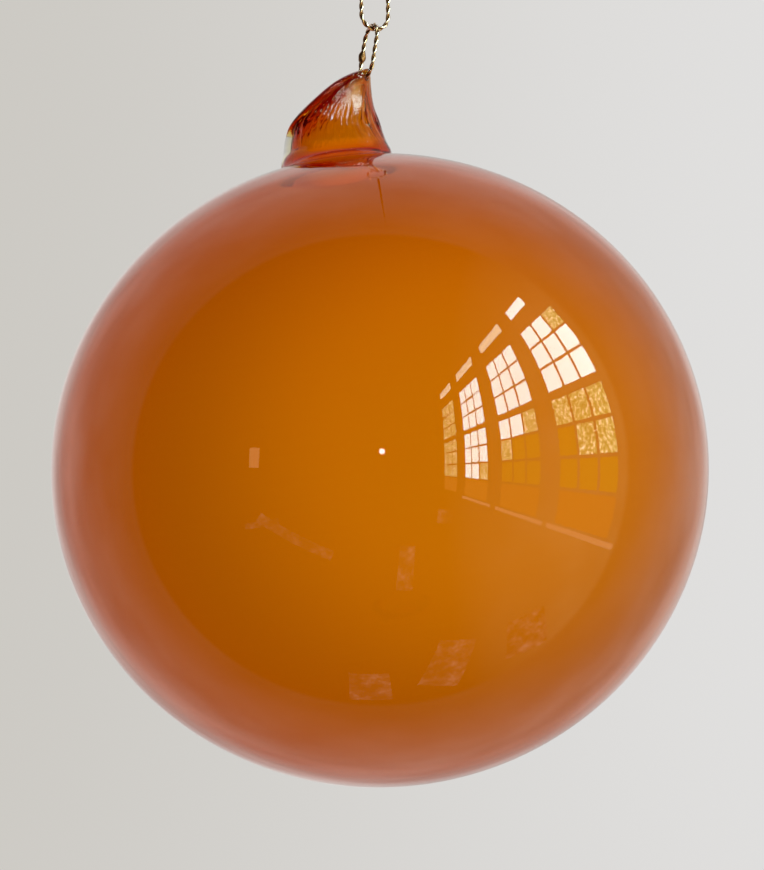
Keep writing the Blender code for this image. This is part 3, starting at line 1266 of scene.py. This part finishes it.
@dataclass(frozen=True)
class Shell:
    """A turned shell that faces inwards: a superellipse from pole to pole, or a ball at power two.

    Each point's shares of the half axes, taken to the power, add up to one.
    """

    radius: float
    floor: float
    top: float
    power: int
    rings: int
    columns: int = 96

    def skin(self) -> Skin:
        """The whole shell.

        Returns:
            The closed skin round the origin.
        """
        polar = np.linspace(math.pi, 0.0, self.rings + 2)[1:-1, None]
        turn = circle(self.columns)[None, :]
        flat, rise = np.sin(polar), np.cos(polar)
        stretch = (np.abs(flat) ** self.power + np.abs(rise) ** self.power) ** (-1 / self.power)
        across = self.radius * flat * stretch
        z = np.where(rise < 0, self.floor, self.top) * rise * stretch * np.ones_like(turn)
        rings = np.stack([across * np.cos(turn), across * np.sin(turn), z], axis=-1)
        poles = np.array([[0.0, 0.0, -self.floor], [0.0, 0.0, self.top]])
        return closed_skin(rings, {}, poles).inside_out()


@dataclass
class WindowWall:
    """A row of tall paned windows on the right, with what stands behind their panes.

    Places are shares of the wall's distance: Y along it, which falls from beside the object towards
    the front, and Z up it. The branch is where its shade starts along the wall and up it. The lawns
    are spans along the wall, each with the height that it reaches.
    """

    centre: np.ndarray
    distance: float = 3.0
    windows: tuple[Span, ...] = ((-0.08, -0.57), (-0.735, -1.21), (-1.42, -1.93), (-2.15, -2.65))
    transom: Span = (1.20, 1.34)
    transom_start: float = -0.27
    sashes: tuple[Span, ...] = ((0.47, 1.03), (-0.12, 0.43))
    low_light: Span = (-0.34, -0.12)
    sill: Span = (-0.378, -0.346)
    sill_inset: float = 0.06
    panes_across: int = 3
    panes_high: int = 3
    bar: float = 0.020
    tree_line: float = 0.6365
    tree_slope: float = 0.5
    tree_top: float = 0.46
    branch: Span = (-0.2, 0.8)
    wood_start: float = -2.1
    lawns: Stations = ((-0.35, -1.0, 0.1), (0.0, -1.3, -0.05))

    def panes(self, sides: Span, levels: Span, columns: int = 1, rows: int = 1) -> np.ndarray:
        """Splits a sash into panes with bars between them.

        Args:
            sides: its near and its far edge.
            levels: its lower and its upper edge.
            columns: how many panes it has across.
            rows: how many it has one above the other.

        Returns:
            One row of near, far, low and high for each pane.
        """
        along, up = np.linspace(*sides, columns + 1), np.linspace(*levels, rows + 1)
        near, low = np.meshgrid(along[:-1] - self.bar / 2, up[:-1] + self.bar / 2)
        far, high = np.meshgrid(along[1:] + self.bar / 2, up[1:] - self.bar / 2)
        return np.stack([near.ravel(), far.ravel(), low.ravel(), high.ravel()], axis=-1)

    def daylight(self) -> dict[Daylight, np.ndarray]:
        """Sorts all panes by what stands behind them.

        The tree line falls away along the wall at an even slope under its top. A branch hangs into
        the top pane of the nearest window, and a wood fills the farthest. The lawns lie below.

        Returns:
            The rows of the panes of each kind.
        """
        size = (self.panes_across, self.panes_high)
        every = np.concatenate([self.panes(w, sash, *size) for w in self.windows for sash in self.sashes])
        over = [(min(near, self.transom_start), far) for near, far in self.windows]
        transoms = np.concatenate([self.panes(sides, self.transom) for sides in over])
        near, low = every[:, 0], every[:, 2]
        branch = (near > self.branch[0]) & (low > self.branch[1])
        line = np.minimum(self.tree_line + self.tree_slope * near, self.tree_top)
        lawn = np.any([(near < a) & (near > b) & (low < top) for a, b, top in self.lawns], axis=0)
        trees = ((low < line) | branch | (near < self.wood_start)) & ~lawn
        return {
            Daylight.SKY: np.concatenate([transoms[:1], every[~trees & ~lawn]]),
            Daylight.HAZE: transoms[1:],
            Daylight.TREES: every[trees],
            Daylight.LAWN: every[lawn],
            Daylight.GROUND: np.concatenate([self.panes(w, self.low_light) for w in self.windows]),
        }

    def cards(self, rows: np.ndarray) -> Skin:
        """Flat rectangles on the wall.

        Args:
            rows: one for each, of near, far, low and high.

        Returns:
            The skin of all of them, facing the object.
        """
        near, far, low, high = rows.T
        y, z = np.stack([near, far, far, near], axis=-1), np.stack([low, low, high, high], axis=-1)
        return flat_cards(np.stack([np.ones_like(y), y, z], axis=-1) * self.distance).moved(self.centre)

    def build(self) -> None:
        """Hangs the daylight behind the panes, and sets the sills under the first three windows."""
        finishes = {
            Daylight.SKY: Glow("window_sky", 17.0, ("#D4F6F2",)),
            Daylight.HAZE: Glow("window_haze", 8.5, ("#F4FFD8",)),
            Daylight.TREES: Glow("sunlit_foliage", 12.5, ("#6A8238", "#AFBF76", "#FFFFE4"), 0.055),
            Daylight.LAWN: Glow("sunlit_lawn", 1.7, ("#FFE648",)),
            Daylight.GROUND: Glow("sunlit_ground", 1.7, ("#FFB45A",)),
        }
        for light, rows in self.daylight().items():
            add_stage(light.value, self.cards(rows), finishes[light])
        inset = self.sill_inset
        sills = np.array([(near + inset, far - inset, *self.sill) for near, far in self.windows[:3]])
        add_stage("window_sills", self.cards(sills), Glow("window_sills", 2.4, ("#FFD9A8",)))


@dataclass
class Studio:
    """A plain pale sweep, and what the gloss mirrors: a room, windows, a lamp, pale things and a cord.

    The things are rows of a direction, then half width and half height as shares of the distance,
    then a turn. The first is the small card at the left.
    """

    centre: np.ndarray
    sweep: Shell = Shell(radius=1.5, floor=0.40, top=1.3, power=4, rings=64)
    room: Shell = Shell(radius=12.0, floor=12.0, top=12.0, power=2, rings=48)
    lamp_way: tuple[float, float, float] = (0.011, -0.995, 0.101)
    lamp_distance: float = 1.0
    lamp_radius: float = 0.017
    lamp_corners: int = 24
    cord_length: float = 1.2
    cord_width: float = 0.9 * MM
    cord_thickness: float = 0.7 * MM
    cord_start: float = 2.0 * MM
    cord_lean: float = math.radians(1.4)
    things_distance: float = 3.0
    things: Stations = (
        (-0.656, -0.752, 0.067, 0.030, 0.056, 0.0),
        (-0.452, -0.804, -0.386, 0.234, 0.031, 0.58),
        (-0.611, -0.732, -0.301, 0.103, 0.017, -0.1),
        (0.354, -0.895, -0.273, 0.045, 0.042, 0.0),
        (0.308, -0.254, -0.917, 0.092, 0.164, -0.42),
        (-0.039, -0.158, -0.987, 0.090, 0.105, 0.17),
        (0.635, -0.175, -0.753, 0.100, 0.124, -0.94),
        (0.139, -0.817, -0.560, 0.043, 0.140, 0.0),
    )

    def pale_things(self, things: Stations) -> Skin:
        """Small rectangles round the room, each across its own direction.

        Args:
            things: rows of a direction, half width, half height and turn.

        Returns:
            The skin of all of them.
        """
        rows = np.array(things)
        ahead, side, over = facing(rows[:, :3])
        cosine, sine = np.cos(rows[:, 5:6]), np.sin(rows[:, 5:6])
        wide = (side * cosine + over * sine) * rows[:, 3:4]
        high = (over * cosine - side * sine) * rows[:, 4:5]
        corners = [ahead - wide - high, ahead + wide - high, ahead + wide + high, ahead - wide + high]
        return flat_cards(np.stack(corners, axis=1) * self.things_distance).moved(self.centre)

    def lamp(self) -> Skin:
        """A small round lamp that faces the object: a disc as a fan of triangles.

        Returns:
            The disc.
        """
        ahead, side, over = facing(np.array(self.lamp_way))
        turn = circle(self.lamp_corners)[:, None]
        middle = ahead * self.lamp_distance
        ring = middle + (side * np.cos(turn) + over * np.sin(turn)) * self.lamp_radius
        across = np.arange(self.lamp_corners)
        after = (across + 1) % self.lamp_corners
        fan = np.stack([np.full_like(across, self.lamp_corners), across, after], axis=-1)
        return Skin(np.concatenate([ring, [middle]]) + self.centre, np.empty((0, 4), int), fan)

    def cord(self) -> Skin:
        """The cord that the chain hangs from.

        Returns:
            A long narrow loop.
        """
        oval = RopeLoop(self.cord_length, self.cord_width, self.cord_thickness)
        rise = self.cord_start + self.cord_length / 2
        raised = oval.tube(self.cord_thickness / 2, steps=64, sides=8) + [0.0, 0.0, rise]
        return closed_skin(turned(raised, self.cord_lean, "Y"), {})

    def build(self) -> None:
        """Sets up the sweep, the mirrored room and all that stands in it, and the world."""
        sweep = self.sweep.skin().moved(self.centre)
        add_stage("pale_sweep", sweep, PaleSweep("pale_paper_sweep"), SeenBy.EYE)
        lit_paper = PaleSweep("pale_paper_with_pool_of_light", round_pool=0.72)
        add_stage("pale_sweep_behind_glass", sweep, lit_paper, SeenBy.BENT)
        add_stage("mirrored_room", self.room.skin(), MirroredRoom())
        WindowWall(self.centre).build()
        add_stage("lamp_by_the_camera", self.lamp(), Glow("lamp_by_the_camera", 22.0, ("#FFF6EC",)))
        card = Glow("small_card_at_the_left", 3.2, ("#FFC488",))
        add_stage("small_card_at_the_left", self.pale_things(self.things[:1]), card)
        pale = Glow("pale_things_in_the_room", 1.3, ("#54453C", "#B08A78", "#FFD8C0"), 0.20)
        add_stage("pale_things_in_the_room", self.pale_things(self.things[1:]), pale)
        add_stage("cord_above", self.cord(), Glow("cord_above", 1.0, ("#3A2614",)))
        world = bpy.data.worlds.new("soft_daylight")
        world.use_nodes = True
        world.node_tree.nodes["Background"].inputs["Color"].default_value = linear("#D8D6D2")
        bpy.context.scene.world = world


@dataclass
class ViewCamera:
    """A camera a quarter of a metre before the ball's centre and level with it, tipped up a little."""

    distance: float = 250.0 * MM
    lens: float = 66.7
    rise: float = math.radians(1.21)
    turn: float = math.radians(0.07)

    def build(self, centre: np.ndarray) -> None:
        """Makes the camera and gives it to the scene.

        Args:
            centre: the ball's centre, which it stands straight before.
        """
        data = bpy.data.cameras.new("view_camera")
        data.lens = self.lens
        data.clip_start = 0.01
        data.clip_end = 100.0
        camera = bpy.data.objects.new("view_camera", data)
        camera.location = Vector(centre) + Vector((0.0, -self.distance, 0.0))
        ahead = Vector((math.sin(self.turn), math.cos(self.turn), math.tan(self.rise)))
        camera.rotation_mode = "QUATERNION"
        camera.rotation_quaternion = ahead.to_track_quat("-Z", "Y")
        bpy.context.scene.collection.objects.link(camera)
        bpy.context.scene.camera = camera


def plain_colours() -> None:
    """Shows colours as they are, and lets light pass every wall of the glass."""
    scene = bpy.context.scene
    scene.view_settings.view_transform = "Standard"
    scene.cycles.max_bounces = 32
    scene.cycles.transmission_bounces = 32
    scene.cycles.glossy_bounces = 12


def main() -> None:
    """Builds the camera, the glass, the chain and the studio, and reports each piece."""
    logging.basicConfig(level=logging.INFO, format="%(name)s: %(message)s")
    upper = BrassLink(Link.UPPER, turn=math.radians(25.0), lean=0.0)
    lower = BrassLink(
        Link.LOWER, turn=math.radians(-65.0), lean=math.radians(8.9), solder=SolderDrop(), slack=0.3 * MM
    )
    orb = GlassOrb(BallShape(), NeckShape(), lower)
    centre = orb.centre()
    ViewCamera().build(centre)
    brass = AntiqueBrass().material()
    pieces = [orb.build(AmberGlass().material()), upper.build(brass), lower.build(brass)]
    for piece in pieces:
        log.info("%s: %d faces", piece.name, len(piece.data.polygons))
    Studio(centre).build()
    plain_colours()


if __name__ == "__main__":
    main()
